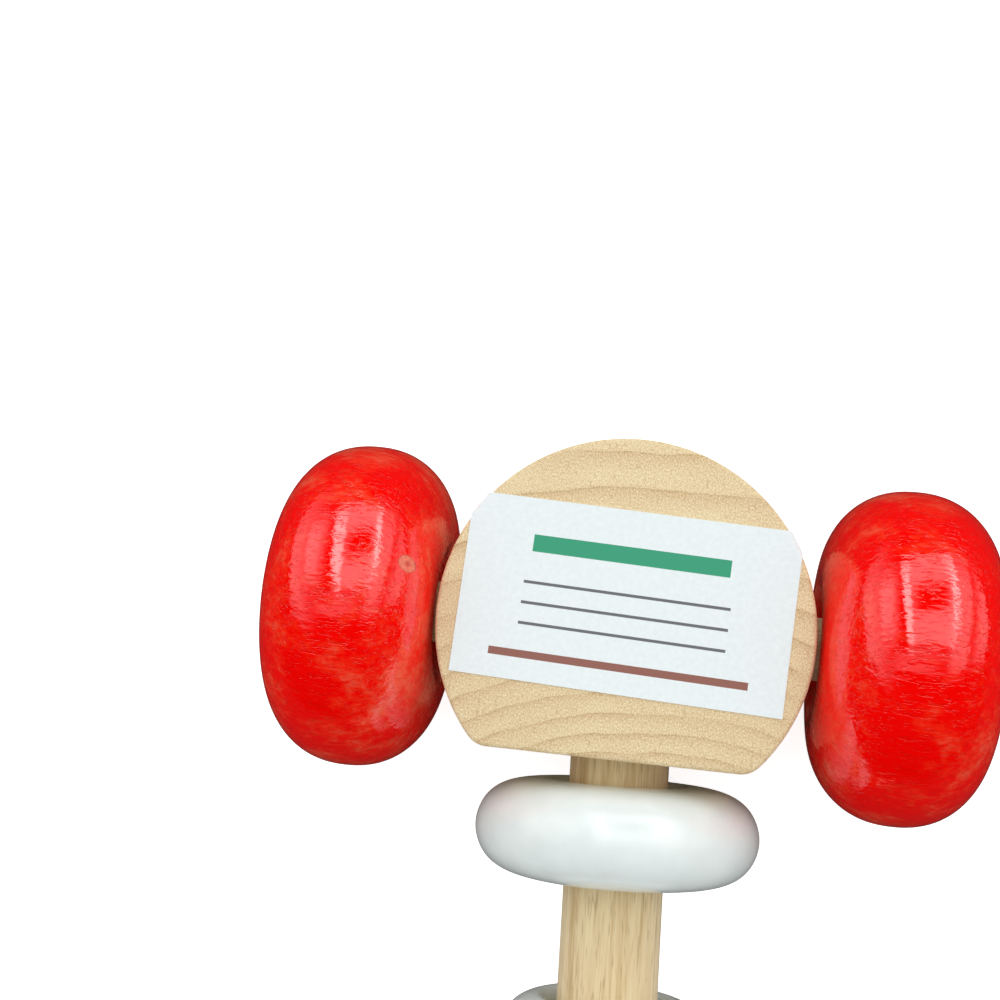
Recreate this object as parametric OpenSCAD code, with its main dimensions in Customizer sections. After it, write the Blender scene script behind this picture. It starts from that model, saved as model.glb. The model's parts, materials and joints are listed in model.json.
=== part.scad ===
// Push-along toy: a round wooden head between two fat wheels, on the end of a
// long stick that carries two loose rings, a stop bead and a ball to hold.
// Millimetres. X runs along the axle, Y along the stick towards the head, Z up.
// The toy lies on its wheels and its ball with the label up, and the origin is
// the middle of its outline on that ground.

/* [Head] */
// Diameter of the round head
head_d = 44; // [40:0.2:48]
// Thickness of the head
head_t = 24; // [20:0.5:28]
// Distance from the axle to the flat where the stick goes in
head_flat = 15.3; // [13.5:0.1:17]
// Broken edge around both faces
head_edge = 0.5; // [0.2:0.1:1]

/* [Label] */
// Length of the paper label
label_l = 38.5; // [30:0.1:44]
// Width of the paper label
label_w = 21.3; // [15:0.1:26]
// Thickness of the paper
label_t = 0.15; // [0.1:0.05:0.3]
// How far the label's middle lies from the axle, away from the stick
label_up = 2.8; // [0:0.1:5]
// How far the label was stuck on askew, in degrees
label_turn = -2.4; // [-5:0.1:5]

/* [Axle and wheels] */
// Diameter of the axle dowel
axle_d = 7.6; // [6:0.1:9]
// Running clearance of the axle in the head, on the radius
axle_play = 0.2; // [0.1:0.05:0.4]
// Diameter of a wheel
wheel_d = 40; // [36:0.5:46]
// Width of a wheel over its two crowns
wheel_w = 20.8; // [18:0.2:26]
// Radius at which a wheel is widest
wheel_crown_r = 9.2; // [7:0.1:11]
// How deep the hub is dished at the bore
hub_dish = 2; // [0.5:0.1:3]
// Gap between the head's rim and a wheel's crown
wheel_gap = 0.6; // [0.4:0.1:3]
// Roundness of the tread across the wheel, 2 is an ellipse
tread_across = 2.25; // [1.8:0.05:3]
// Roundness of the tread along the radius, 2 is an ellipse
tread_along = 2; // [1.8:0.05:3]

/* [Lock pins] */
// Diameter of the pins that lock the wheels and the stop bead
pin_d = 2; // [1.5:0.1:3]
// How far from the wheel's middle a wheel's pin crosses the axle's line, towards the head
wheel_pin_in = 5.2; // [0:0.1:6]
// How far a wheel's pin slants towards the head on its way out, in degrees
wheel_pin_slant = 9; // [0:1:12]
// Where the left wheel's pin shows, in degrees from straight up towards the head's top
left_pin_turn = 16; // [-180:1:180]
// Where the right wheel's pin shows
right_pin_turn = -152; // [-180:1:180]
// Diameter of the pin that locks the stick in the head
stick_pin_d = 3; // [2:0.1:4]
// Glue film around everything that is glued, on the radius
glue = 0.05; // [0.03:0.01:0.1]

/* [Stick] */
// Diameter of the stick
stick_d = 12; // [10:0.2:14]
// Distance from the axle to the middle of the ball at the far end
reach = 500; // [200:5:600]
// How far the stick leans from square to the axle, towards the right, in degrees
stick_lean = 2.2; // [0:0.1:2.5]
// Wood left between the axle's bore and the end of the stick
socket_web = 2.4; // [1.5:0.1:4]
// Bevel on the ends of the stick and the axle
dowel_bevel = 0.6; // [0.2:0.1:1]

/* [Rings] */
// Diameter of the large ring
large_ring_d = 34.4; // [28:0.2:36]
// Thickness of the large ring
large_ring_t = 11.8; // [8:0.2:14]
// Diameter of the small ring
small_ring_d = 26; // [22:0.2:34]
// Thickness of the small ring
small_ring_t = 11.6; // [8:0.2:14]
// How much wider than the stick the rings are bored
ring_play = 2.4; // [1.4:0.1:4]
// Clearance where a ring hangs on the stick
ring_hang = 0.3; // [0.2:0.05:0.5]
// Rounding of the edges of a ring's bore
ring_bore_edge = 1.6; // [0.5:0.1:2.5]
// Where the rings were left: space between the head's flat and the large ring
flat_to_large = 3.1; // [1.5:0.1:8]
// Space between the two rings
large_to_small = 13.6; // [2:0.1:20]
// Space between the small ring and the stop bead
small_to_stop = 15.6; // [2:0.1:30]

/* [Stop bead and ball] */
// Diameter of the stop bead
stop_d = 22; // [18:0.5:30]
// Thickness of the stop bead
stop_t = 11; // [8:0.2:16]
// Rounding of the edges of the stop bead's bore
stop_bore_edge = 0.8; // [0.3:0.1:2]
// Where the stop bead's pin shows, in degrees from straight up
stop_pin_turn = 150; // [10:5:170]
// Diameter of the ball at the far end
ball_d = 40; // [34:0.5:46]
// How far the stick goes into the ball
ball_socket = 24; // [12:0.5:26]

/* [Hidden] */

round_fn = 96;
profile_steps = 14;
cut = 1;  // how far a cutting tool runs past the face that it cuts

// The line of the axle and of the stick
axis_z = max(wheel_d, ball_d) / 2;
head_end = max(head_d, wheel_d) / 2;
axle_y = (reach * cos(stick_lean) + ball_d / 2 - head_end) / 2;

axle_bore_d = axle_d + 2 * axle_play;
wheel_x = head_d / 2 + wheel_gap + wheel_w / 2;
wheel_bore_d = axle_d + 2 * glue;
axle_l = 2 * (wheel_x + wheel_w / 2 - hub_dish);

// Places along the stick, measured from the axle
socket_end = axle_bore_d / 2 + socket_web;
stick_pin_at = (head_flat + socket_end) / 2;
stick_end = reach - ball_d / 2 + ball_socket;
large_ring_at = head_flat + flat_to_large + large_ring_t / 2;
small_ring_at = large_ring_at + large_ring_t / 2 + large_to_small + small_ring_t / 2;
stop_at = small_ring_at + small_ring_t / 2 + small_to_stop + stop_t / 2;

// How far a lock pin reaches past the middle of its dowel
axle_pin_past = axle_d / 4;
stick_pin_past = stick_d / 4;

// The rings' bore, and how far the rings' line lies below the stick's
ring_bore_d = stick_d + ring_play;
ring_drop = ring_play / 2 - ring_hang;

// Shape of the rings' outline: nearly flat faces, fully round edge
ring_across = 1.87;
ring_along = 6.2;

// Half width of a wheel at the radius r inside its crowns
function hub_side(r) =
    let (bore_r = wheel_bore_d / 2,
         share = (r - bore_r) / (wheel_crown_r - bore_r))
    wheel_w / 2 - hub_dish * (1 + cos(180 * share)) / 2;

// Half of a wheel's outline, from the bore over the crown to the tread
function wheel_outline() = concat(
    [for (i = [0 : profile_steps / 2 - 1])
        let (share = 2 * i / profile_steps,
             r = wheel_bore_d / 2 + (wheel_crown_r - wheel_bore_d / 2) * share)
        [r, hub_side(r)]],
    [for (i = [0 : profile_steps - 1])
        let (a = 90 * i / profile_steps)
        [wheel_crown_r + (wheel_d / 2 - wheel_crown_r) * pow(sin(a), 2 / tread_along),
         wheel_w / 2 * pow(cos(a), 2 / tread_across)]],
    [[wheel_d / 2, 0]]);

// Half thickness of a ring at the radius r
function ring_side(r, d, t) =
    t / 2 * pow(1 - pow(2 * r / d, ring_along), 1 / ring_across);

// Half of a ring's outline, from its rounded bore edge to its rim
function ring_outline(d, t, bore_d, edge) =
    let (bore_r = bore_d / 2,
         first = asin(pow((bore_r + edge) / (d / 2), ring_along / 2)))
    concat(
        [for (i = [0 : profile_steps / 2 - 1])
            let (a = 180 * i / profile_steps,
                 r = bore_r + edge * (1 - cos(a)))
            [r, ring_side(r, d, t) - edge * (1 - sin(a))]],
        [for (i = [0 : profile_steps - 1])
            let (a = first + (90 - first) * i / profile_steps)
            [d / 2 * pow(sin(a), 2 / ring_along), t / 2 * pow(cos(a), 2 / ring_across)]],
        [[d / 2, 0]]);

// A turned piece about X: the half outline, and its mirror image on the other side
module turned(half) {
    last = len(half) - 1;
    back = [for (i = [0 : last]) [half[last - i][0], -half[last - i][1]]];
    rotate([0, 90, 0])
        rotate_extrude($fn = round_fn)
            polygon(concat(half, [for (i = [1 : last]) back[i]]));
}

// A dowel along X with bevelled ends
module dowel(d, l) {
    rotate([0, 90, 0])
        rotate_extrude($fn = round_fn)
            polygon([[0, 0], [d / 2 - dowel_bevel, 0], [d / 2, dowel_bevel],
                     [d / 2, l - dowel_bevel], [d / 2 - dowel_bevel, l], [0, l]]);
}

// Places its children on the stick's line, at a distance from the axle
module on_stick(at) {
    translate([0, axle_y, axis_z])
        rotate([0, 0, stick_lean])
            translate([0, -at, 0])
                children();
}

// A straight cylinder from the middle of a dowel outwards, turned about X from straight up
// and slanted along X
module radial_pin(d, turn, from, to, slant = 0) {
    rotate([-turn, 0, 0])
        rotate([0, slant, 0])
            translate([0, 0, from])
                cylinder(d = d, h = to - from, $fn = round_fn / 2);
}

// The head before it is bored: a disc with one flat, all its edges broken
module head_blank() {
    half = head_t / 2;
    intersection() {
        rotate_extrude($fn = 2 * round_fn)
            polygon([[0, -half], [head_d / 2 - head_edge, -half], [head_d / 2, head_edge - half],
                     [head_d / 2, half - head_edge], [head_d / 2 - head_edge, half], [0, half]]);
        translate([-head_d, 0, 0])
            rotate([90, 0, 90])
                linear_extrude(2 * head_d)
                    polygon([[-head_flat, head_edge - half], [head_edge - head_flat, -half],
                             [head_d, -half], [head_d, half],
                             [head_edge - head_flat, half], [-head_flat, half - head_edge]]);
    }
}

module head_block() {
    color("burlywood")
        difference() {
            translate([0, axle_y, axis_z])
                head_blank();
            translate([-head_d / 2 - cut, axle_y, axis_z])
                rotate([0, 90, 0])
                    cylinder(d = axle_bore_d, h = head_d + 2 * cut, $fn = round_fn);
            on_stick(head_d / 2)
                rotate([-90, 0, 0])
                    cylinder(d = stick_d + 2 * glue, h = head_d / 2 - socket_end, $fn = round_fn);
            on_stick(stick_pin_at)
                translate([0, 0, -head_t / 2 - cut])
                    cylinder(d = stick_pin_d + 2 * glue, h = head_t / 2 + cut, $fn = round_fn / 2);
        }
}

module label() {
    color("white")
        translate([0, axle_y + label_up, axis_z + head_t / 2])
            rotate([0, 0, label_turn])
                translate([-label_l / 2, -label_w / 2, 0])
                    cube([label_l, label_w, label_t]);
}

module axle() {
    color("burlywood")
        difference() {
            translate([-axle_l / 2, axle_y, axis_z])
                dowel(axle_d, axle_l);
            wheel_pin_hole(-1, left_pin_turn);
            wheel_pin_hole(1, right_pin_turn);
        }
}

// Where a wheel's lock pin stands: side is -1 on the left and 1 on the right
module at_wheel_pin(side) {
    translate([side * (wheel_x - wheel_pin_in), axle_y, axis_z]) children();
}

module wheel_pin_hole(side, turn) {
    at_wheel_pin(side)
        radial_pin(pin_d + 2 * glue, turn, -axle_pin_past - glue, wheel_d / 2 + cut,
                   -side * wheel_pin_slant);
}

module wheel(side, turn) {
    color("red")
        difference() {
            translate([side * wheel_x, axle_y, axis_z])
                turned(wheel_outline());
            wheel_pin_hole(side, turn);
        }
}

module left_wheel() {
    wheel(-1, left_pin_turn);
}

module right_wheel() {
    wheel(1, right_pin_turn);
}

// A wheel's lock pin, cut off flush with the tread
module wheel_pin(side, turn) {
    color("tan")
        intersection() {
            at_wheel_pin(side)
                radial_pin(pin_d, turn, -axle_pin_past, wheel_d / 2 + cut, -side * wheel_pin_slant);
            translate([side * wheel_x, axle_y, axis_z])
                turned(concat([[0, hub_side(wheel_bore_d / 2)]], wheel_outline()));
        }
}

module left_wheel_pin() {
    wheel_pin(-1, left_pin_turn);
}

module right_wheel_pin() {
    wheel_pin(1, right_pin_turn);
}

module stick() {
    color("burlywood")
        difference() {
            on_stick(stick_end)
                rotate([0, 0, 90])
                    dowel(stick_d, stick_end - socket_end);
            on_stick(stick_pin_at)
                translate([0, 0, -stick_d])
                    cylinder(d = stick_pin_d + 2 * glue, h = stick_d + stick_pin_past + glue,
                             $fn = round_fn / 2);
            on_stick(stop_at)
                rotate([0, 0, 90])
                    radial_pin(pin_d + 2 * glue, stop_pin_turn, -stick_pin_past - glue, stick_d);
        }
}

module stick_pin() {
    color("tan")
        on_stick(stick_pin_at)
            translate([0, 0, -head_t / 2])
                cylinder(d = stick_pin_d, h = head_t / 2 + stick_pin_past, $fn = round_fn / 2);
}

// A loose ring that hangs on the stick
module ring(d, t, at) {
    color("whitesmoke")
        on_stick(at)
            translate([0, 0, -ring_drop])
                rotate([0, 0, 90])
                    turned(ring_outline(d, t, ring_bore_d, ring_bore_edge));
}

module large_ring() {
    ring(large_ring_d, large_ring_t, large_ring_at);
}

module small_ring() {
    ring(small_ring_d, small_ring_t, small_ring_at);
}

module stop_bead() {
    color("red")
        on_stick(stop_at)
            rotate([0, 0, 90])
                difference() {
                    turned(ring_outline(stop_d, stop_t, stick_d + 2 * glue, stop_bore_edge));
                    radial_pin(pin_d + 2 * glue, stop_pin_turn, 0, stop_d);
                }
}

module stop_pin() {
    color("tan")
        on_stick(stop_at)
            rotate([0, 0, 90])
                radial_pin(pin_d, stop_pin_turn, -stick_pin_past, stop_d / 2 - glue);
}

module handle_ball() {
    bore_floor = ball_d / 2 - ball_socket - glue;
    color("red")
        on_stick(reach)
            rotate([-90, 0, 0])
                rotate_extrude($fn = round_fn)
                    difference() {
                        circle(d = ball_d, $fn = round_fn);
                        translate([-ball_d, -ball_d])
                            square([ball_d, 2 * ball_d]);
                        translate([0, bore_floor])
                            square([stick_d / 2 + glue, ball_d]);
                    }
}

head_block();
label();
axle();
left_wheel();
right_wheel();
left_wheel_pin();
right_wheel_pin();
stick();
stick_pin();
large_ring();
small_ring();
stop_bead();
stop_pin();
handle_ball();
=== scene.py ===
import json
import math
import bmesh
import bpy
from mathutils import Matrix, Vector


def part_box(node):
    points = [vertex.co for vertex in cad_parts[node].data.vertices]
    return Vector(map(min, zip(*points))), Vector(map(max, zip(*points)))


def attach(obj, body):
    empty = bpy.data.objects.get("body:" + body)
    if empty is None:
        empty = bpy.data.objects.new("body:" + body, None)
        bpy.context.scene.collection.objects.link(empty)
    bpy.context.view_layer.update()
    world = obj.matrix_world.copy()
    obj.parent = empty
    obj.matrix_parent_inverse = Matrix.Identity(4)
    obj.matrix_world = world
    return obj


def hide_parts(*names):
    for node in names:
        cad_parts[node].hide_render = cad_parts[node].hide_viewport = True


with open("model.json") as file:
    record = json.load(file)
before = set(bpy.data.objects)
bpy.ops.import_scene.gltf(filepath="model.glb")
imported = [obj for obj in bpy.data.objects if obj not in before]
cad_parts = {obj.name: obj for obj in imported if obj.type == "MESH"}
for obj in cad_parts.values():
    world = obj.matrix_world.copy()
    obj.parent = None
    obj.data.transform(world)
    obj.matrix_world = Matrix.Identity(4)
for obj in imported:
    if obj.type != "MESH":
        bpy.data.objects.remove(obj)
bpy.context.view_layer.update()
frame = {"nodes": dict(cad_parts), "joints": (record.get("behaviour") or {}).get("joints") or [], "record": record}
scene = bpy.context.scene
scene.view_settings.view_transform = "Standard"
mm = 0.001


# Where the frame has things
record = frame["record"]
joints = {joint["name"]: joint for joint in frame["joints"]}
bodyOf = {node: body for body, nodes in record["behaviour"]["bodies"].items() for node in nodes}
axlePlace = Vector(joints["wheel_spin"]["pos_m"])
axleLine = Vector(joints["wheel_spin"]["axis"])
stickLine = Vector(joints["large_ring_slide"]["axis"])  # points at the head
stickTurn = math.atan2(-stickLine.x, stickLine.y)  # how far the stick leans from square
drawnTo = 1  # decimals of a millimetre that the parts' sizes have


def middle(node):
    low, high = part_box(node)
    return (low + high) / 2


# Width and height of a solid in mm. Round parts stand on edge, so that the height is their diameter
def widthOf(node):
    low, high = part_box(node)
    return round((high.x - low.x) / mm, drawnTo)


def heightOf(node):
    low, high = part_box(node)
    return round((high.z - low.z) / mm, drawnTo)


# The camera stands where a fit of the photo's outlines puts it, in mm from the axle's middle, above the head
photoView = {"fromAxle": (7.22, -6.40, 181.86), "turn": (7.330, 6.979, 5.941), "lens": 52.817, "sensor": 36.0,
             "nearest": 10.0}


def addCamera():
    bpy.ops.object.camera_add(location=axlePlace + Vector(photoView["fromAxle"]) * mm,
                              rotation=[math.radians(angle) for angle in photoView["turn"]])
    camera = bpy.context.object
    camera.name = "photoCamera"
    camera.data.sensor_width = photoView["sensor"]
    camera.data.lens = photoView["lens"]
    camera.data.clip_start = photoView["nearest"] * mm
    scene.camera = camera


addCamera()
print("camera placed")


# Colours are written as sRGB hex values, and a grey as its linear share
def linear(colour):
    if not isinstance(colour, str):
        return [colour] * 3 + [1]
    shares = [int(colour[start:start + 2], 16) / 255 for start in (1, 3, 5)]
    return [share / 12.92 if share <= 0.04045 else ((share + 0.055) / 1.055) ** 2.4 for share in shares] + [1]


# Adds a node with its settings, its linked or plain sockets and, on a ramp, its stops of place and colour
def addNode(tree, kind, sockets=None, stops=(), **settings):
    node = tree.nodes.new(kind)
    for name, value in settings.items():
        setattr(node, name, value)
    for name, value in (sockets or {}).items():
        if isinstance(value, bpy.types.NodeSocket):
            tree.links.new(value, node.inputs[name])
        else:
            node.inputs[name].default_value = value
    if stops:
        points = node.color_ramp.elements
        while len(points) < len(stops):
            points.new(1)
        for point, (place, colour) in zip(points, stops):
            point.position = place
            point.color = linear(colour)
    return node


def startMaterial(name):
    material = bpy.data.materials.new(name)
    material.use_nodes = True
    material.node_tree.nodes.clear()
    return material, material.node_tree


def endMaterial(tree, shader, colour, bump=None):
    tree.links.new(colour, shader.inputs["Base Color"])
    if bump:
        tree.links.new(bump, shader.inputs["Normal"])
        if shader.inputs["Coat Weight"].default_value:
            tree.links.new(bump, shader.inputs["Coat Normal"])
    addNode(tree, "ShaderNodeOutputMaterial", {"Surface": shader.outputs[0]})


# Coordinates in millimetres about a place, with the grain along local Y
def grainPlace(tree, origin, turn=0.0):
    objectPlace = addNode(tree, "ShaderNodeTexCoord").outputs["Object"]
    return addNode(tree, "ShaderNodeMapping", {
        "Vector": objectPlace, "Location": origin, "Rotation": (0, 0, turn), "Scale": (mm, mm, mm)},
        vector_type="TEXTURE").outputs["Vector"]


# Uneven pattern of a size in mm across the grain, drawn out along it. Rough and bent are the noise's roughness
# and distortion
def grainPattern(tree, place, pattern):
    drawnOut = addNode(tree, "ShaderNodeMapping", {"Vector": place, "Scale": (1, 1 / pattern["grain"], 1)})
    return addNode(tree, "ShaderNodeTexNoise", {
        "Vector": drawnOut.outputs["Vector"], "Scale": 1 / pattern["size"], "Detail": pattern["detail"],
        "Roughness": pattern["rough"], "Distortion": pattern["bent"]}).outputs["Fac"]


# Beech block, sawn through the side of the tree and sanded: growth rings cut as flat arches, fine speckle of
# pores. Real pores are under 0.1 mm wide, and the speckle is drawn at 0.16 mm so that it shows
beechBlock = {
    "bands": [(0.0, "#DEC79E"), (0.08, "#E5D2A8"), (0.4, "#E5D2A8"), (0.72, "#DEC79E"), (0.94, "#D3B78B"),
              (1.0, "#BF9E70")],
    "plain": "#DEC79E",
    "archMiddle": 7.2, "archRound": 67.0, "archTighter": 0.000195, "dip": 0.6,
    "ringWidth": 3.05, "ringSpread": 0.0224, "firstLine": 0.44, "leastSpread": 0.05,
    "wander": 1.2, "wandering": {"size": 15.0, "grain": 1.0, "detail": 3.0, "rough": 0.55, "bent": 0.0},
    "faint": [(0.35, 0.0), (0.65, 0.75)], "faintLow": 0.1,
    "patches": {"size": 8.0, "grain": 1.0, "detail": 2.0, "rough": 0.5, "bent": 0.0},
    "grains": [(0.36, 0.05), (0.5, 0.46), (0.64, 0.98)], "grainStrength": 0.62,
    "speckle": {"size": 0.16, "grain": 1.5, "detail": 2.0, "rough": 0.7, "bent": 0.0},
    "fleck": [(0.62, 0.0), (0.74, 0.35)], "fleckColour": "#B8935F",
    "rays": {"size": 0.4, "grain": 3.0, "detail": 1.0, "rough": 0.4, "bent": 0.0},
    "bump": 0.5, "bumpDepth": 0.02, "roughness": 0.6, "ior": 1.5, "shine": 0.35,
}


def makeBeechBlock():
    look = beechBlock
    material, tree = startMaterial("sandedBeechBlock")
    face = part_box("head_block")[1].z
    place = grainPlace(tree, Vector((axlePlace.x, axlePlace.y, face)))
    wander = grainPattern(tree, place, look["wandering"])
    axes = addNode(tree, "ShaderNodeSeparateXYZ", {"Vector": place}).outputs
    across = addNode(tree, "ShaderNodeMath", {0: axes["X"], 1: look["archMiddle"]},
                     operation="SUBTRACT").outputs[0]
    square = addNode(tree, "ShaderNodeMath", {0: across, 1: across}, operation="MULTIPLY").outputs[0]
    # The arches are flat at the top and rounder towards the stick
    curve = addNode(tree, "ShaderNodeMath", {
        0: axes["Y"], 1: -look["archTighter"], 2: 1 / (2 * look["archRound"])},
        operation="MULTIPLY_ADD").outputs[0]
    arch = addNode(tree, "ShaderNodeMath", {0: square, 1: curve, 2: axes["Y"]},
                   operation="MULTIPLY_ADD").outputs[0]
    dipped = addNode(tree, "ShaderNodeMath", {0: axes["Z"], 1: -look["dip"], 2: arch},
                     operation="MULTIPLY_ADD").outputs[0]
    centred = addNode(tree, "ShaderNodeMath", {0: wander, 1: 0.5}, operation="SUBTRACT").outputs[0]
    height = addNode(tree, "ShaderNodeMath", {0: centred, 1: look["wander"] * 2, 2: dipped},
                     operation="MULTIPLY_ADD").outputs[0]
    # The rings lie closer together towards the stick
    spread = addNode(tree, "ShaderNodeMath", {0: height, 1: look["ringSpread"], 2: 1.0},
                     operation="MULTIPLY_ADD").outputs[0]
    kept = addNode(tree, "ShaderNodeMath", {0: spread, 1: look["leastSpread"]},
                   operation="MAXIMUM").outputs[0]
    logged = addNode(tree, "ShaderNodeMath", {0: kept, 1: math.e}, operation="LOGARITHM").outputs[0]
    years = addNode(tree, "ShaderNodeMath", {0: logged, 1: 1 / (look["ringSpread"] * look["ringWidth"]),
                                             2: look["firstLine"]}, operation="MULTIPLY_ADD").outputs[0]
    season = addNode(tree, "ShaderNodeMath", {0: years}, operation="FRACT").outputs[0]
    bands = addNode(tree, "ShaderNodeValToRGB", {"Fac": season}, look["bands"]).outputs["Color"]
    # The lines fade in patches, and a little more on the stick's side of the axle
    patches = grainPattern(tree, place, look["patches"])
    inPatches = addNode(tree, "ShaderNodeValToRGB", {"Fac": patches}, look["faint"]).outputs["Color"]
    stickSide = addNode(tree, "ShaderNodeMath", {0: axes["Y"], 1: 0.0}, operation="LESS_THAN").outputs[0]
    faint = addNode(tree, "ShaderNodeMath", {0: stickSide, 1: look["faintLow"], 2: inPatches},
                    operation="MULTIPLY_ADD").outputs[0]
    soft = addNode(tree, "ShaderNodeMix", {"Factor": faint, 6: bands, 7: linear(look["plain"])},
                   data_type="RGBA").outputs[2]
    speckle = grainPattern(tree, place, look["speckle"])
    grains = addNode(tree, "ShaderNodeValToRGB", {"Fac": speckle}, look["grains"]).outputs["Color"]
    speckled = addNode(tree, "ShaderNodeMix", {"Factor": look["grainStrength"], 6: soft, 7: grains},
                       data_type="RGBA", blend_type="SOFT_LIGHT").outputs[2]
    rays = grainPattern(tree, place, look["rays"])
    fleck = addNode(tree, "ShaderNodeValToRGB", {"Fac": rays}, look["fleck"]).outputs["Color"]
    colour = addNode(tree, "ShaderNodeMix", {"Factor": fleck, 6: speckled, 7: linear(look["fleckColour"])},
                     data_type="RGBA").outputs[2]
    bump = addNode(tree, "ShaderNodeBump", {"Height": speckle, "Strength": look["bump"],
                                            "Distance": look["bumpDepth"] * mm})
    shader = addNode(tree, "ShaderNodeBsdfPrincipled", {"Roughness": look["roughness"], "IOR": look["ior"],
                                                        "Specular IOR Level": look["shine"]})
    endMaterial(tree, shader, colour, bump.outputs["Normal"])
    return material


# Beech dowel, turned from straight-grained stock: long soft streaks and short dark ray flecks along the grain
beechDowel = {
    "wood": [(0.36, "#C6A773"), (0.5, "#E0C99B"), (0.64, "#EAD7AC")],
    "streaks": {"size": 1.2, "grain": 45.0, "detail": 4.0, "rough": 0.6, "bent": 0.0},
    "fibres": {"size": 0.3, "grain": 24.0, "detail": 2.0, "rough": 0.6, "bent": 0.0}, "fibreShare": 0.42,
    "fleck": [(0.60, 0.0), (0.72, 0.45)], "fleckColour": "#A08054",
    "rays": {"size": 0.26, "grain": 12.0, "detail": 1.0, "rough": 0.4, "bent": 0.0},
    "bump": 0.4, "bumpDepth": 0.03, "roughness": 0.58, "ior": 1.5, "shine": 0.35, "sheen": 0.35,
    "sheenRoughness": 0.5,
}


def makeBeechDowel(name, origin, turn):
    look = beechDowel
    material, tree = startMaterial(name)
    place = grainPlace(tree, origin, turn)
    streaks = grainPattern(tree, place, look["streaks"])
    fibres = grainPattern(tree, place, look["fibres"])
    both = addNode(tree, "ShaderNodeMix", {"Factor": look["fibreShare"], "A": streaks,
                                           "B": fibres}).outputs["Result"]
    wood = addNode(tree, "ShaderNodeValToRGB", {"Fac": both}, look["wood"]).outputs["Color"]
    rays = grainPattern(tree, place, look["rays"])
    fleck = addNode(tree, "ShaderNodeValToRGB", {"Fac": rays}, look["fleck"]).outputs["Color"]
    colour = addNode(tree, "ShaderNodeMix", {"Factor": fleck, 6: wood, 7: linear(look["fleckColour"])},
                     data_type="RGBA").outputs[2]
    bump = addNode(tree, "ShaderNodeBump", {"Height": both, "Strength": look["bump"],
                                            "Distance": look["bumpDepth"] * mm})
    shader = addNode(tree, "ShaderNodeBsdfPrincipled", {
        "Roughness": look["roughness"], "IOR": look["ior"], "Specular IOR Level": look["shine"],
        "Sheen Weight": look["sheen"], "Sheen Roughness": look["sheenRoughness"]})
    endMaterial(tree, shader, colour, bump.outputs["Normal"])
    return material


# Red stain under clear gloss lacquer on turned beech: blotchy where the stain took unevenly, and the open grain
# under the film ripples the gloss. The stain is also drawn paler towards the outline as painted sheen. The
# pores are drawn several times wider than the real ones so that they show
redLacquer = {
    "stain": [(0.43, "#FA0300"), (0.53, "#FA0703"), (0.6, "#FA2612"), (0.7, "#F7523A")],
    "blotches": {"size": 5.5, "grain": 1.5, "detail": 6.0, "rough": 0.62, "bent": 0.5},
    "streaks": {"size": 0.9, "grain": 2.6, "detail": 4.0, "rough": 0.65, "bent": 0.6}, "streakShare": 0.38,
    # Painted sheen: the first two shares make the stain paler towards the rim and both faces, where gloss lightens
    # the outline
    "paintedSheenTowardsRim": 0.11, "paintedSheenTowardsFaces": 0.1, "rightWheelTook": 0.03,
    "vessels": {"size": 0.36, "grain": 5.5, "detail": 2.0, "rough": 0.5, "bent": 0.9},
    "pores": [(0.57, 0.0), (0.62, 1.0)], "poreTint": 0.2, "poreColour": "#BC0A05",
    "ripple": {"size": 0.72, "grain": 4.2, "detail": 1.5, "rough": 0.5, "bent": 0.7},
    "poreDepth": 0.28, "bump": 1.0, "bumpDepth": 0.056,
    "roughness": 0.3, "ior": 1.5, "shine": 0.0, "coat": 1.0, "coatRoughness": 0.04, "coatIor": 1.7,
}


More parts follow.
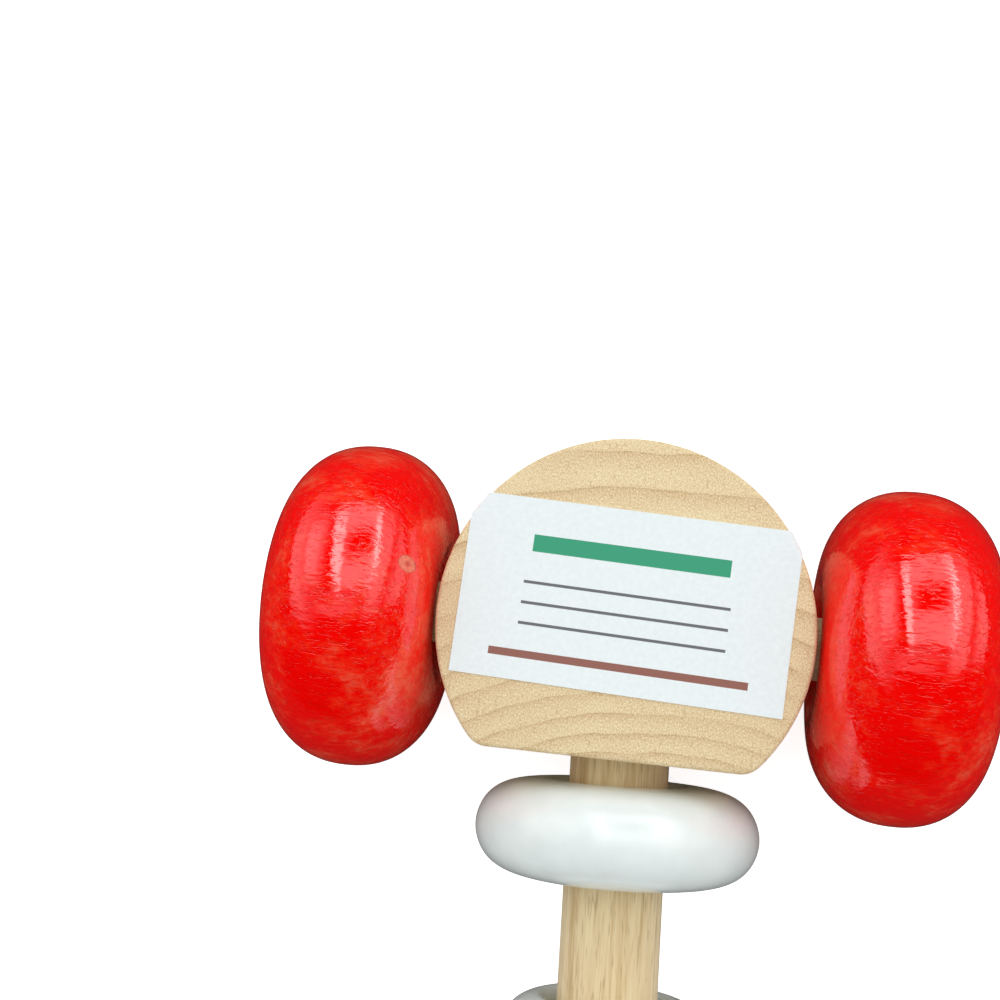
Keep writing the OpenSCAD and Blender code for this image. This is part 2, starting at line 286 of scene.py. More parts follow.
def makeRedLacquer(name, origin, turn, radius, half, took=0.0):
    look = redLacquer
    material, tree = startMaterial(name)
    place = grainPlace(tree, origin, turn)
    blotches = grainPattern(tree, place, look["blotches"])
    streaks = grainPattern(tree, place, look["streaks"])
    unevenStainAndPaintedSheen = addNode(tree, "ShaderNodeMix", {"Factor": look["streakShare"], "A": blotches,
                                             "B": streaks}).outputs["Result"]
    # Painted sheen: the stain is drawn paler on two sides of the turning out to its radius, and near both faces
    axes = addNode(tree, "ShaderNodeSeparateXYZ", {"Vector": place}).outputs
    for axis, share, size in (("X", look["paintedSheenTowardsRim"], radius), ("Y", look["paintedSheenTowardsFaces"], half)):
        part = addNode(tree, "ShaderNodeMath", {0: axes[axis], 1: 1 / size}, operation="MULTIPLY").outputs[0]
        square = addNode(tree, "ShaderNodeMath", {0: part, 1: part}, operation="MULTIPLY").outputs[0]
        unevenStainAndPaintedSheen = addNode(tree, "ShaderNodeMath", {0: square, 1: share, 2: unevenStainAndPaintedSheen},
                         operation="MULTIPLY_ADD").outputs[0]
    stops = [(stop + took, colour) for stop, colour in look["stain"]]
    stain = addNode(tree, "ShaderNodeValToRGB", {"Fac": unevenStainAndPaintedSheen}, stops).outputs["Color"]
    vessels = grainPattern(tree, place, look["vessels"])
    pore = addNode(tree, "ShaderNodeValToRGB", {"Fac": vessels}, look["pores"]).outputs["Color"]
    tint = addNode(tree, "ShaderNodeMath", {0: pore, 1: look["poreTint"]}, operation="MULTIPLY").outputs[0]
    colour = addNode(tree, "ShaderNodeMix", {"Factor": tint, 6: stain, 7: linear(look["poreColour"])},
                     data_type="RGBA").outputs[2]
    ripple = grainPattern(tree, place, look["ripple"])
    depth = addNode(tree, "ShaderNodeMath", {0: pore, 1: look["poreDepth"], 2: ripple},
                    operation="MULTIPLY_ADD").outputs[0]
    bump = addNode(tree, "ShaderNodeBump", {"Height": depth, "Strength": look["bump"],
                                            "Distance": look["bumpDepth"] * mm}, invert=True)
    shader = addNode(tree, "ShaderNodeBsdfPrincipled", {
        "Roughness": look["roughness"], "IOR": look["ior"], "Specular IOR Level": look["shine"],
        "Coat Weight": look["coat"], "Coat Roughness": look["coatRoughness"], "Coat IOR": look["coatIor"]})
    endMaterial(tree, shader, colour, bump.outputs["Normal"])
    return material


# White gloss paint, dipped: almost even and a little cool, with a faint ripple where it ran
whitePaint = {
    "tone": [(0.35, "#E4EEEC"), (0.65, "#EBF5F3")],
    "blotches": {"size": 6.0, "grain": 1.0, "detail": 4.0, "rough": 0.6, "bent": 0.0},
    "ripple": {"size": 1.4, "grain": 1.0, "detail": 3.0, "rough": 0.5, "bent": 0.0},
    "bump": 1.0, "bumpDepth": 0.01,
    "roughness": 0.4, "ior": 1.5, "shine": 0.1, "coat": 1.0, "coatRoughness": 0.22, "coatIor": 1.55,
}


def makeWhitePaint():
    look = whitePaint
    material, tree = startMaterial("whiteGlossPaint")
    place = grainPlace(tree, middle("large_ring"), stickTurn)
    blotches = grainPattern(tree, place, look["blotches"])
    colour = addNode(tree, "ShaderNodeValToRGB", {"Fac": blotches}, look["tone"]).outputs["Color"]
    ripple = grainPattern(tree, place, look["ripple"])
    bump = addNode(tree, "ShaderNodeBump", {"Height": ripple, "Strength": look["bump"],
                                            "Distance": look["bumpDepth"] * mm})
    shader = addNode(tree, "ShaderNodeBsdfPrincipled", {
        "Roughness": look["roughness"], "IOR": look["ior"], "Specular IOR Level": look["shine"],
        "Coat Weight": look["coat"], "Coat Roughness": look["coatRoughness"], "Coat IOR": look["coatIor"]})
    endMaterial(tree, shader, colour, bump.outputs["Normal"])
    return material


# Smooth white label paper, printed with plain coloured bars: fine fibre, no shine. The bars' places are in mm
# from the label's middle. The fibre is drawn coarser than the real one so that it shows
labelPrint = {
    "paper": [(0.3, "#E4EDEE"), (0.7, "#EAF3F4")],
    "fibre": {"size": 0.6, "grain": 1.0, "detail": 4.0, "rough": 0.5, "bent": 0.0},
    "bars": [
        {"ink": "#3E9F7B", "across": (-11.5, 11.5), "up": 5.4, "tall": 2.0},
        {"ink": "#6E7072", "across": (-12.0, 12.0), "up": 0.8, "tall": 0.35},
        {"ink": "#6E7072", "across": (-12.0, 12.0), "up": -1.6, "tall": 0.35},
        {"ink": "#6E7072", "across": (-12.0, 12.0), "up": -4.0, "tall": 0.35},
        {"ink": "#95655A", "across": (-15.0, 15.0), "up": -7.6, "tall": 0.9},
    ],
    "bump": 0.3, "bumpDepth": 0.01, "roughness": 0.7, "ior": 1.45, "shine": 0.3,
}


def makeLabelPaper(labelTurn):
    look = labelPrint
    material, tree = startMaterial("printedLabelPaper")
    place = grainPlace(tree, middle("label"), labelTurn)
    fibre = grainPattern(tree, place, look["fibre"])
    colour = addNode(tree, "ShaderNodeValToRGB", {"Fac": fibre}, look["paper"]).outputs["Color"]
    axes = addNode(tree, "ShaderNodeSeparateXYZ", {"Vector": place}).outputs
    for bar in look["bars"]:
        left, right = bar["across"]
        centre, half = (left + right) / 2, (right - left) / 2
        inAcross = addNode(tree, "ShaderNodeMath", {0: axes["X"], 1: centre, 2: half},
                           operation="COMPARE").outputs[0]
        inUp = addNode(tree, "ShaderNodeMath", {0: axes["Y"], 1: bar["up"], 2: bar["tall"] / 2},
                       operation="COMPARE").outputs[0]
        inside = addNode(tree, "ShaderNodeMath", {0: inAcross, 1: inUp}, operation="MULTIPLY").outputs[0]
        colour = addNode(tree, "ShaderNodeMix", {"Factor": inside, 6: colour, 7: linear(bar["ink"])},
                         data_type="RGBA").outputs[2]
    bump = addNode(tree, "ShaderNodeBump", {"Height": fibre, "Strength": look["bump"],
                                            "Distance": look["bumpDepth"] * mm})
    shader = addNode(tree, "ShaderNodeBsdfPrincipled", {"Roughness": look["roughness"], "IOR": look["ior"],
                                                        "Specular IOR Level": look["shine"]})
    endMaterial(tree, shader, colour, bump.outputs["Normal"])
    return material


# Sawn end of a small beech pin, lacquered over or left bare: pale ring, darker middle, a little grit.
# The stops are shares of the pin's radius
pinEnd = {
    "lacquered": {"rim": "#EF7558", "heart": "#C93222"}, "bare": {"rim": "#DDBE92", "heart": "#B08A5C"},
    "rings": [(0.18, "heart"), (0.48, "rim"), (0.85, "rim"), (1.0, "heart")],
    "grits": [(0.38, "heart"), (0.62, "rim")], "gritSize": 0.4, "gritDetail": 3.0, "gritShare": 0.42,
    "roughness": 0.4, "ior": 1.5, "coat": 0.5, "coatRoughness": 0.15,
}


def makePinEnd(name, place, line, finish, radius):
    look = pinEnd
    material, tree = startMaterial(name)
    rings = [(stop, look[finish][tone]) for stop, tone in look["rings"]]
    grits = [(stop, look[finish][tone]) for stop, tone in look["grits"]]
    objectPlace = addNode(tree, "ShaderNodeTexCoord").outputs["Object"]
    away = addNode(tree, "ShaderNodeVectorMath", {0: objectPlace, 1: place}, operation="SUBTRACT").outputs[0]
    offLine = addNode(tree, "ShaderNodeVectorMath", {0: away, 1: line}, operation="CROSS_PRODUCT").outputs[0]
    distance = addNode(tree, "ShaderNodeVectorMath", {0: offLine}, operation="LENGTH").outputs["Value"]
    share = addNode(tree, "ShaderNodeMath", {0: distance, 1: radius}, operation="DIVIDE").outputs[0]
    ringed = addNode(tree, "ShaderNodeValToRGB", {"Fac": share}, rings).outputs["Color"]
    grit = addNode(tree, "ShaderNodeTexNoise", {"Vector": objectPlace, "Scale": 1 / (look["gritSize"] * mm),
                                                "Detail": look["gritDetail"]}).outputs["Fac"]
    gritty = addNode(tree, "ShaderNodeValToRGB", {"Fac": grit}, grits).outputs["Color"]
    colour = addNode(tree, "ShaderNodeMix", {"Factor": look["gritShare"], 6: ringed, 7: gritty},
                     data_type="RGBA").outputs[2]
    shader = addNode(tree, "ShaderNodeBsdfPrincipled", {
        "Roughness": look["roughness"], "IOR": look["ior"], "Coat Weight": look["coat"],
        "Coat Roughness": look["coatRoughness"]})
    endMaterial(tree, shader, colour)
    return material


print("materials ready to mix")


# Modelling helpers. Sizes in the dictionaries are in mm and angles in degrees, and the mesh is in metres
tools = {"bitSides": 64, "smoothBelow": 35, "joinWithin": 0.001}


def clearSelection():
    if bpy.context.object and bpy.context.object.mode != "OBJECT":
        bpy.ops.object.mode_set(mode="OBJECT")
    bpy.ops.object.select_all(action="DESELECT")


def pickOnly(piece):
    clearSelection()
    piece.select_set(True)
    bpy.context.view_layer.objects.active = piece


def placeInMesh(piece):
    pickOnly(piece)
    bpy.ops.object.transform_apply(location=True, rotation=True, scale=True)


# One vertex is drawn along a half outline of (radius, place along), and that line is spun round the axis
def turnOnLathe(name, outline, place, line, sides):
    clearSelection()
    bpy.ops.mesh.primitive_plane_add(size=mm, location=(0, 0, 0))
    piece = bpy.context.object
    piece.name = name
    bpy.ops.object.mode_set(mode="EDIT")
    bpy.ops.mesh.merge(type="CENTER")
    spot = Vector((outline[0][0] * mm, 0, outline[0][1] * mm))
    bpy.ops.transform.translate(value=spot)
    for radius, along in outline[1:]:
        nextSpot = Vector((radius * mm, 0, along * mm))
        bpy.ops.mesh.extrude_region_move(TRANSFORM_OT_translate={"value": nextSpot - spot})
        spot = nextSpot
    bpy.ops.mesh.select_all(action="SELECT")
    bpy.ops.mesh.spin(steps=sides, angle=2 * math.pi, center=(0, 0, 0), axis=(0, 0, 1))
    bpy.ops.mesh.select_all(action="SELECT")
    bpy.ops.mesh.remove_doubles(threshold=tools["joinWithin"] * mm)
    bpy.ops.mesh.normals_make_consistent(inside=False)
    bpy.ops.object.mode_set(mode="OBJECT")
    piece.rotation_mode = "QUATERNION"
    piece.rotation_quaternion = line.to_track_quat("Z", "Y")
    piece.location = place
    placeInMesh(piece)
    return piece


def drill(piece, place, line, diameter, depth):
    clearSelection()
    bpy.ops.mesh.primitive_cylinder_add(vertices=tools["bitSides"], radius=diameter / 2, depth=depth)
    bit = bpy.context.object
    bit.rotation_mode = "QUATERNION"
    bit.rotation_quaternion = line.to_track_quat("Z", "Y")
    bit.location = place + line.normalized() * depth / 2
    pickOnly(piece)
    hole = piece.modifiers.new("hole", "BOOLEAN")
    hole.operation = "DIFFERENCE"
    hole.solver = "EXACT"
    hole.object = bit
    bpy.ops.object.modifier_apply(modifier=hole.name)
    bpy.data.objects.remove(bit)


def finishPiece(piece, node, material):
    pickOnly(piece)
    bpy.ops.object.shade_smooth_by_angle(angle=math.radians(tools["smoothBelow"]))
    piece.data.materials.clear()
    piece.data.materials.append(material)
    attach(piece, bodyOf[node])
    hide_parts(node)
    print("made", piece.name)


# A pin keeps its solid and gets the look of its cut end
def finishPin(node, material):
    frame["nodes"][node].material_slots[0].material = material


# Wheels, turned from one blank each: a fat round tread, crowns, and a shallow dish to the bore
wheel = {"diameter": heightOf("left_wheel"), "width": widthOf("left_wheel"), "crown": 9.2, "dish": 2.0,
         "bore": 7.7, "across": 2.25, "along": 2.0, "sides": 160, "steps": 34,
         "pinHole": 2.03, "pinIn": 5.2, "pinSlant": 9.0, "leftPinTurn": 16.0, "rightPinTurn": -152.0}


def wheelOutline():
    half = []
    for step in range(wheel["steps"] // 2):
        share = 2 * step / wheel["steps"]
        radius = wheel["bore"] / 2 + (wheel["crown"] - wheel["bore"] / 2) * share
        half.append((radius, wheel["width"] / 2 - wheel["dish"] * (1 + math.cos(math.pi * share)) / 2))
    for step in range(wheel["steps"]):
        angle = math.pi / 2 * step / wheel["steps"]
        tread = wheel["diameter"] / 2 - wheel["crown"]
        radius = wheel["crown"] + tread * math.sin(angle) ** (2 / wheel["along"])
        half.append((radius, wheel["width"] / 2 * math.cos(angle) ** (2 / wheel["across"])))
    back = [(radius, -along) for radius, along in reversed(half)]
    return half + [(wheel["diameter"] / 2, 0)] + back + half[:1]


def pinLine(side, turn):
    angle, slant = math.radians(turn), math.radians(wheel["pinSlant"])
    return Vector((-side * math.sin(slant), math.cos(slant) * math.sin(angle),
                   math.cos(slant) * math.cos(angle)))


def makeWheel(name, node, side, pinTurn, took=0.0):
    piece = turnOnLathe(name, wheelOutline(), middle(node), axleLine, wheel["sides"])
    pinPlace = middle(node) - side * axleLine * wheel["pinIn"] * mm
    drill(piece, pinPlace, pinLine(side, pinTurn), wheel["pinHole"] * mm, wheel["diameter"] * mm)
    lacquer = makeRedLacquer(name + "Lacquer", middle(node), math.pi / 2, wheel["diameter"] / 2,
                             wheel["width"] / 2, took)
    finishPiece(piece, node, lacquer)
    finishPin(node + "_pin", makePinEnd(name + "PinEnd", pinPlace, pinLine(side, pinTurn), "lacquered",
                                        wheel["pinHole"] / 2 * mm))


makeWheel("leftWheel", "left_wheel", -1, wheel["leftPinTurn"])
makeWheel("rightWheel", "right_wheel", 1, wheel["rightPinTurn"], redLacquer["rightWheelTook"])


# Dowels, with a small bevel on both ends
dowel = {"bevel": 0.6, "sides": 96, "stickLength": 497.6}


def dowelOutline(diameter, length):
    radius, half, bevel = diameter / 2, length / 2, dowel["bevel"]
    return [(0, -half), (radius - bevel, -half), (radius, bevel - half), (radius, half - bevel),
            (radius - bevel, half), (0, half)]


def makeDowels():
    low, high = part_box("axle")
    axle = turnOnLathe("axleDowel", dowelOutline(heightOf("axle"), (high.x - low.x) / mm), middle("axle"),
                       axleLine, dowel["sides"])
    finishPiece(axle, "axle", makeBeechDowel("axleBeech", middle("axle"), math.pi / 2))
    stick = turnOnLathe("stickDowel", dowelOutline(heightOf("stick"), dowel["stickLength"]), middle("stick"),
                        stickLine, dowel["sides"])
    finishPiece(stick, "stick", makeBeechDowel("stickBeech", middle("stick"), stickTurn))


makeDowels()


# Rings and stop bead: nearly flat faces, a fully round rim and a rounded bore
ringShape = {"across": 1.87, "along": 6.2, "sides": 160, "steps": 30}
rings = {
    "largeRing": {"node": "large_ring", "thick": 11.8, "bore": 14.4, "boreEdge": 1.6},
    "smallRing": {"node": "small_ring", "thick": 11.6, "bore": 14.4, "boreEdge": 1.6},
    "stopBead": {"node": "stop_bead", "thick": 11.0, "bore": 12.1, "boreEdge": 0.8},
}
stopPin = {"diameter": 2.3}


def ringOutline(size):
    outer, boreRadius, edge = heightOf(size["node"]) / 2, size["bore"] / 2, size["boreEdge"]
    across, along, steps = ringShape["across"], ringShape["along"], ringShape["steps"]
    half = []
    for step in range(steps // 2):
        angle = math.pi * step / steps
        radius = boreRadius + edge * (1 - math.cos(angle))
        side = size["thick"] / 2 * (1 - (radius / outer) ** along) ** (1 / across)
        half.append((radius, side - edge * (1 - math.sin(angle))))
    first = math.asin(((boreRadius + edge) / outer) ** (along / 2))
    for step in range(steps):
        angle = first + (math.pi / 2 - first) * step / steps
        half.append((outer * math.sin(angle) ** (2 / along),
                     size["thick"] / 2 * math.cos(angle) ** (2 / across)))
    back = [(radius, -place) for radius, place in reversed(half)]
    return half + [(outer, 0)] + back + half[:1]


def makeRings():
    white = makeWhitePaint()
    red = makeRedLacquer("stopBeadLacquer", middle("stop_bead"), stickTurn, heightOf("stop_bead") / 2,
                         rings["stopBead"]["thick"] / 2)
    for name, size in rings.items():
        piece = turnOnLathe(name, ringOutline(size), middle(size["node"]), stickLine, ringShape["sides"])
        finishPiece(piece, size["node"], red if name == "stopBead" else white)
    pinWay = (middle("stop_pin") - middle("stop_bead")).normalized()
    finishPin("stop_pin", makePinEnd("stopPinEnd", middle("stop_bead"), pinWay, "lacquered",
                                     stopPin["diameter"] / 2 * mm))


makeRings()


# Ball to hold, bored for the stick
ball = {"diameter": heightOf("handle_ball"), "socket": 12.1, "socketFloor": 4.05, "sides": 160, "steps": 80}


def makeBall():
    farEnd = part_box("handle_ball")[0].y
    radius = ball["diameter"] / 2
    mouth = math.asin(ball["socket"] / ball["diameter"])
    place = Vector((middle("handle_ball").x, farEnd + radius * mm, middle("handle_ball").z))
    outline = [(0, -ball["socketFloor"]), (ball["socket"] / 2, -ball["socketFloor"])]
    for step in range(ball["steps"] + 1):
        angle = mouth + (math.pi - mouth) * step / ball["steps"]
        outline.append((radius * math.sin(angle), radius * math.cos(angle)))
    piece = turnOnLathe("handleBall", outline, place, stickLine, ball["sides"])
    finishPiece(piece, "handle_ball", makeRedLacquer("handleBallLacquer", place, stickTurn, radius, radius))


makeBall()


# Head: a slice of round beech with one flat, its edges eased with sandpaper, bored for the axle and the stick
head = {"rimSides": 240, "edge": 0.5, "edgeSteps": 4, "corner": 1.2, "cornerSteps": 8, "axleBore": 8.0,
        "stickBore": 12.1, "boreFloor": 6.4, "pinHole": 3.1, "pinAt": 10.85, "near": 0.01, "upright": 1.0,
        "drillPast": 1.0}


def selectEdges(piece, wanted):
    bpy.ops.mesh.select_all(action="DESELECT")
    mesh = bmesh.from_edit_mesh(piece.data)
    for edge in mesh.edges:
        edge.select_set(wanted(edge.verts[0].co, edge.verts[1].co))
    bmesh.update_edit_mesh(piece.data)


def makeHead():
    low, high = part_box("head_block")
    radius = (high.x - low.x) / 2
    near, upright, past = head["near"] * mm, head["upright"] * mm, head["drillPast"] * mm
    clearSelection()
    bpy.ops.mesh.primitive_cylinder_add(vertices=head["rimSides"], radius=radius, depth=high.z - low.z,
                                        location=(axlePlace.x, axlePlace.y, axlePlace.z))
    piece = bpy.context.object
    piece.name = "headBlock"
    placeInMesh(piece)
    bpy.ops.object.mode_set(mode="EDIT")
    bpy.ops.mesh.select_all(action="SELECT")
    bpy.ops.mesh.bisect(plane_co=(0, low.y, 0), plane_no=(0, 1, 0), use_fill=True, clear_inner=True)
    bpy.ops.mesh.select_mode(type="EDGE")
    # The rim's last few faces before the flat are joined, so that there is room to round the corner
    reach = low.y + head["corner"] * mm
    selectEdges(piece, lambda a, b: abs(a.z - b.z) > upright and low.y + near < a.y < reach)
    bpy.ops.mesh.dissolve_edges(use_verts=True)
    selectEdges(piece, lambda a, b: max(abs(a.y - low.y), abs(b.y - low.y)) < near
                and abs(a.z - b.z) > upright)
    bpy.ops.mesh.bevel(offset=head["corner"] * mm, segments=head["cornerSteps"], affect="EDGES")
    selectEdges(piece, lambda a, b: any(max(abs(a.z - face), abs(b.z - face)) < near
                                        for face in (low.z, high.z)))
    bpy.ops.mesh.bevel(offset=head["edge"] * mm, segments=head["edgeSteps"], affect="EDGES")
    bpy.ops.object.mode_set(mode="OBJECT")
    drill(piece, Vector((low.x - past, axlePlace.y, axlePlace.z)), axleLine, head["axleBore"] * mm,
          2 * (radius + past))
    drill(piece, axlePlace - stickLine * head["boreFloor"] * mm, -stickLine, head["stickBore"] * mm, radius)
    drill(piece, axlePlace - stickLine * head["pinAt"] * mm, Vector((0, 0, -1)), head["pinHole"] * mm, radius)
    finishPiece(piece, "head_block", makeBeechBlock())
    finishPin("stick_pin", makePinEnd("stickPinEnd", middle("stick_pin"), Vector((0, 0, 1)), "bare",
                                      head["pinHole"] / 2 * mm))


makeHead()


# Label: cut paper stuck on a little askew, its two upper corners pressed down over the head's rim
label = {"long": 38.5, "wide": 21.3, "turn": -2.4, "cells": (96, 56), "foldSteps": 5, "foldGap": 0.02,
         "near": 0.001}


def rimCrossing(corner, edgeLine, radius):
    along = corner.dot(edgeLine)
    return corner - edgeLine * (along + math.sqrt(along ** 2 - corner.length_squared + radius ** 2))


def foldCorner(piece, side, under):
    headLow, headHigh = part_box("head_block")
    radius = (headHigh.x - headLow.x) / 2
    edges = Matrix.Rotation(math.radians(label["turn"]), 3, "Z")
    flat = [vert.co - axlePlace for vert in piece.data.vertices]
    corner = max(flat, key=lambda spot: side * spot.x + spot.y)
    corner = Vector((corner.x, corner.y, 0))
    outward = (rimCrossing(corner, edges @ Vector((-side, 0, 0)), radius)
               + rimCrossing(corner, edges @ Vector((0, -1, 0)), radius)).normalized()
    # The sheet is turned so that this corner points along Y, folded there in small steps and turned back
    spin = math.atan2(outward.x, outward.y)
    piece.rotation_euler = (0, 0, spin)
    placeInMesh(piece)
    middleOfHead = Matrix.Rotation(spin, 3, "Z") @ axlePlace
    bendRadius = (head["edge"] + label["foldGap"]) * mm
    step = math.pi / 2 / label["foldSteps"]
    stride = 2 * bendRadius * math.tan(step / 2)
    firstLine = middleOfHead.y + radius - head["edge"] * mm + stride / 2
    lines = [firstLine + stride * count for count in range(label["foldSteps"])]
    bpy.ops.object.mode_set(mode="EDIT")
    bpy.ops.mesh.select_mode(type="VERT")
    for line in lines:
        bpy.ops.mesh.select_all(action="SELECT")
        bpy.ops.mesh.bisect(plane_co=(0, line, 0), plane_no=(0, 1, 0))
    mesh = bmesh.from_edit_mesh(piece.data)
    near = label["near"] * mm
    beyond = [[vert.index for vert in mesh.verts if vert.co.y > line + near] for line in lines]
    hinge = Vector((middleOfHead.x, firstLine, under))
    for count, moved in enumerate(beyond):
        bpy.ops.mesh.select_all(action="DESELECT")
        mesh = bmesh.from_edit_mesh(piece.data)
        mesh.verts.ensure_lookup_table()
        for index in moved:
            mesh.verts[index].select_set(True)
        mesh.select_flush_mode()
        bmesh.update_edit_mesh(piece.data)
        bpy.ops.transform.rotate(value=step, orient_axis="X", center_override=hinge)
        down = step * (count + 1)
        hinge = hinge + Vector((0, math.cos(down), -math.sin(down))) * stride
    bpy.ops.object.mode_set(mode="OBJECT")
    piece.rotation_euler = (0, 0, -spin)
    placeInMesh(piece)


def makeLabel():
    low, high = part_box("label")
    centre = middle("label")
    clearSelection()
    cellsLong, cellsWide = label["cells"]
    bpy.ops.mesh.primitive_grid_add(x_subdivisions=cellsLong, y_subdivisions=cellsWide, size=1)
    piece = bpy.context.object
    piece.name = "paperLabel"
    piece.scale = (label["long"] * mm, label["wide"] * mm, 1)
    piece.rotation_euler = (0, 0, math.radians(label["turn"]))
    piece.location = (centre.x, centre.y, low.z)
    placeInMesh(piece)
    for side in (-1, 1):
        foldCorner(piece, side, low.z)
    paper = piece.modifiers.new("paper", "SOLIDIFY")
    paper.thickness = high.z - low.z
    paper.offset = 1
    bpy.ops.object.modifier_apply(modifier=paper.name)
    finishPiece(piece, "label", makeLabelPaper(math.radians(label["turn"])))


makeLabel()


# Studio: white floor, and a pale room with a big window past the head, as the lacquer in the photo shows it.
# The panes are drawn on a flat sheet. Its azimuth from +Y towards +X and its elevation are in degrees
sheet = {"azimuth": 10.0, "elevation": 50.0, "edge": 0.1, "inMattLight": 0.45}
# Each pane's place, half width, half height and turn in degrees on that sheet, at distance 1
panes = [
    {"what": "window", "place": (0.06, -0.02), "half": (0.48, 0.62), "turn": -17, "soft": 0.06,
     "level": 1.85},
    {"what": "bright left edge", "place": (-0.31, 0.15), "half": (0.08, 0.52), "turn": -13, "soft": 0.5,
     "level": 3.6},
    {"what": "bright right edge", "place": (0.48, -0.22), "half": (0.09, 0.4), "turn": -27, "soft": 0.5,
     "level": 3.0},
    {"what": "something dark before the window", "place": (0.08, -0.04), "half": (0.33, 0.17), "turn": -24,
     "soft": 0.5, "level": -1.85},
    {"what": "pale wall on the right of the window", "place": (0.82, 0.0), "half": (0.36, 0.85), "turn": -20,
     "soft": 0.5, "level": 1.4},
    {"what": "pale wall on the left", "place": (-0.96, 0.2), "half": (0.33, 0.5), "turn": -4, "soft": 0.6,
     "level": 1.7},
    {"what": "wall further left", "place": (-2.6, 0.6), "half": (1.3, 1.6), "turn": 0, "soft": 0.6,
     "level": 1.3},
    {"what": "wall far right", "place": (2.6, -0.9), "half": (1.2, 1.0), "turn": -20, "soft": 0.4,
     "level": 1.2},
    {"what": "beam above the window", "place": (-0.2, 1.08), "half": (0.6, 0.2), "turn": -24, "soft": 0.7,
     "level": 0.8},
]
studio = {"ambient": 0.44, "fill": 0.62, "floorGlow": 0.75, "floorColour": "#F2F2F2",
          "floorInMatt": "#C8C8C8", "floorInGloss": "#363534", "floorSize": 6.0}


def addFloor():
    clearSelection()
    bpy.ops.mesh.primitive_plane_add(size=studio["floorSize"], location=(0, 0, 0))
    floor = bpy.context.object
    floor.name = "whiteFloor"
    material, tree = startMaterial("paleFloor")
    rays = addNode(tree, "ShaderNodeLightPath").outputs
    seen = addNode(tree, "ShaderNodeMath", {0: rays["Is Camera Ray"], 1: rays["Is Transmission Ray"]},
                   operation="MAXIMUM").outputs[0]
    level = addNode(tree, "ShaderNodeMath", {0: seen, 1: studio["floorGlow"]}, operation="MULTIPLY")
    glow = addNode(tree, "ShaderNodeEmission", {"Strength": level.outputs[0]})
    matt = addNode(tree, "ShaderNodeMix", {"Factor": rays["Is Diffuse Ray"], 6: linear(studio["floorColour"]),
                                           7: linear(studio["floorInMatt"])}, data_type="RGBA").outputs[2]
    colour = addNode(tree, "ShaderNodeMix", {"Factor": rays["Is Glossy Ray"], 6: matt,
                                             7: linear(studio["floorInGloss"])}, data_type="RGBA").outputs[2]
    plain = addNode(tree, "ShaderNodeBsdfDiffuse", {"Color": colour})
    both = addNode(tree, "ShaderNodeAddShader", {0: glow.outputs[0], 1: plain.outputs[0]})
    addNode(tree, "ShaderNodeOutputMaterial", {"Surface": both.outputs[0]})
    floor.data.materials.append(material)


def insidePane(tree, onSheet, pane):
    scaled = addNode(tree, "ShaderNodeMapping", {
        "Vector": onSheet, "Location": (*pane["place"], 0), "Rotation": (0, 0, math.radians(pane["turn"])),
        "Scale": (*pane["half"], 1)}, vector_type="TEXTURE").outputs[0]
    axes = addNode(tree, "ShaderNodeSeparateXYZ", {"Vector": scaled}).outputs
    both = []
    for axis in ("X", "Y"):
        away = addNode(tree, "ShaderNodeMath", {0: axes[axis]}, operation="ABSOLUTE").outputs[0]
        both.append(addNode(tree, "ShaderNodeMapRange", {"Value": away, "From Min": 1 + pane["soft"],
                                                         "From Max": 1 - pane["soft"]},
                            interpolation_type="SMOOTHSTEP").outputs["Result"])
    return addNode(tree, "ShaderNodeMath", {0: both[0], 1: both[1]}, operation="MULTIPLY").outputs[0]


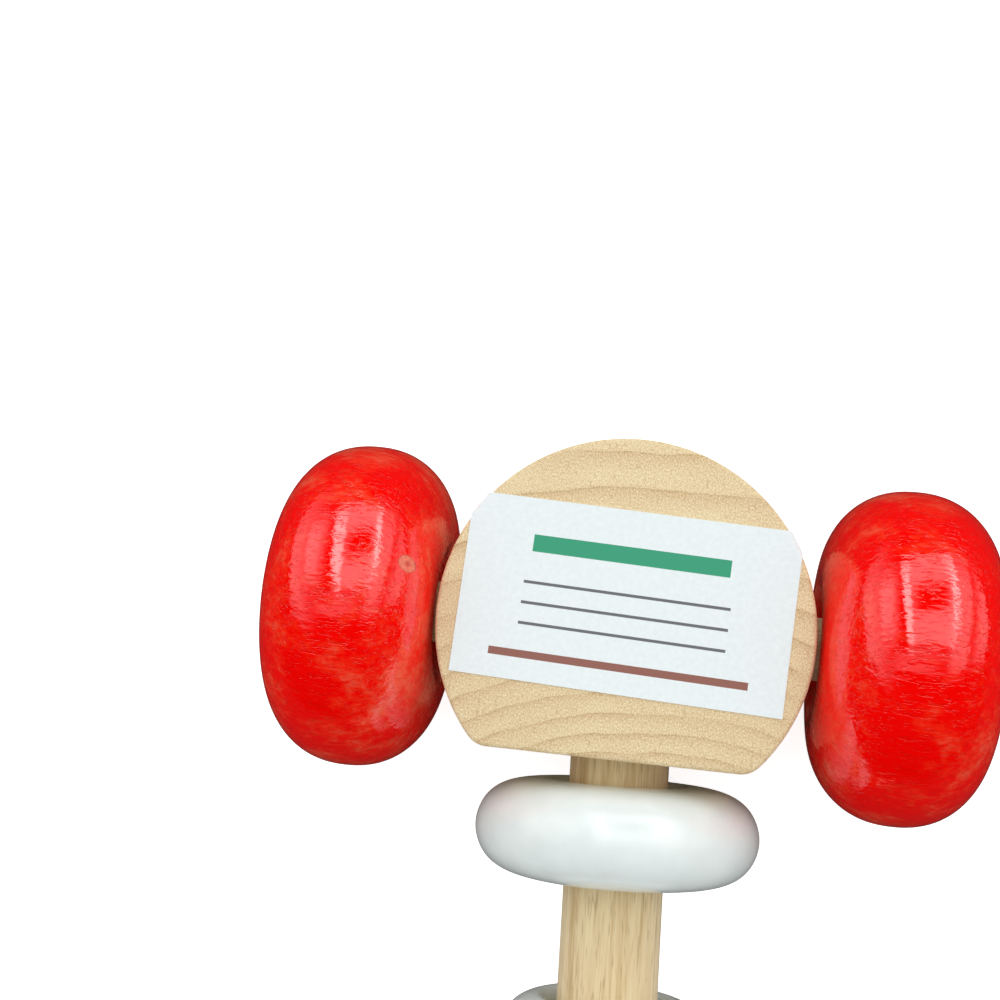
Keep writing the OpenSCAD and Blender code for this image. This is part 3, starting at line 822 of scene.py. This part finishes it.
def addRoom():
    world = bpy.data.worlds.new("paleRoom")
    scene.world = world
    world.use_nodes = True
    tree = world.node_tree
    tree.nodes.clear()
    direction = addNode(tree, "ShaderNodeTexCoord").outputs["Generated"]
    azimuth = math.radians(sheet["azimuth"])
    elevation = math.radians(sheet["elevation"])
    facing = Vector((math.sin(azimuth) * math.cos(elevation), math.cos(azimuth) * math.cos(elevation),
                     math.sin(elevation)))
    right = Vector((math.cos(azimuth), -math.sin(azimuth), 0))
    along = [addNode(tree, "ShaderNodeVectorMath", {0: direction, 1: line},
                     operation="DOT_PRODUCT").outputs["Value"]
             for line in (right, right.cross(facing), facing)]
    ahead = addNode(tree, "ShaderNodeMath", {0: along[2], 1: sheet["edge"]}, operation="MAXIMUM").outputs[0]
    spots = [addNode(tree, "ShaderNodeMath", {0: value, 1: ahead}, operation="DIVIDE").outputs[0]
             for value in along[:2]]
    onSheet = addNode(tree, "ShaderNodeCombineXYZ", {"X": spots[0], "Y": spots[1]}).outputs[0]
    bright = 0.0
    for pane in panes:
        bright = addNode(tree, "ShaderNodeMath", {0: insidePane(tree, onSheet, pane), 1: pane["level"],
                                                  2: bright}, operation="MULTIPLY_ADD").outputs[0]
    isAhead = addNode(tree, "ShaderNodeMath", {0: along[2], 1: sheet["edge"]},
                      operation="GREATER_THAN").outputs[0]
    shownPanes = addNode(tree, "ShaderNodeMath", {0: bright, 1: isAhead}, operation="MULTIPLY").outputs[0]
    rays = addNode(tree, "ShaderNodeLightPath").outputs
    # Matt surfaces get even light from all round, a little more from both sides, and less of the panes
    axes = addNode(tree, "ShaderNodeSeparateXYZ", {"Vector": direction}).outputs
    aside = addNode(tree, "ShaderNodeMath", {0: axes["X"]}, operation="ABSOLUTE").outputs[0]
    even = addNode(tree, "ShaderNodeMath", {0: aside, 1: studio["fill"], 2: studio["ambient"]},
                   operation="MULTIPLY_ADD").outputs[0]
    matt = addNode(tree, "ShaderNodeMath", {0: shownPanes, 1: sheet["inMattLight"], 2: even},
                   operation="MULTIPLY_ADD").outputs[0]
    level = addNode(tree, "ShaderNodeMix", {"Factor": rays["Is Glossy Ray"], "A": matt,
                                            "B": shownPanes}).outputs["Result"]
    # The camera sees plain white
    seen = addNode(tree, "ShaderNodeMath", {0: rays["Is Camera Ray"], 1: rays["Is Transmission Ray"]},
                   operation="MAXIMUM").outputs[0]
    shown = addNode(tree, "ShaderNodeMix", {"Factor": seen, "A": level, "B": 1.0}).outputs["Result"]
    light = addNode(tree, "ShaderNodeBackground", {"Color": (1, 1, 1, 1), "Strength": shown})
    addNode(tree, "ShaderNodeOutputWorld", {"Surface": light.outputs[0]})


addFloor()
addRoom()
print("studio lit, with", ", ".join(pane["what"] for pane in panes))
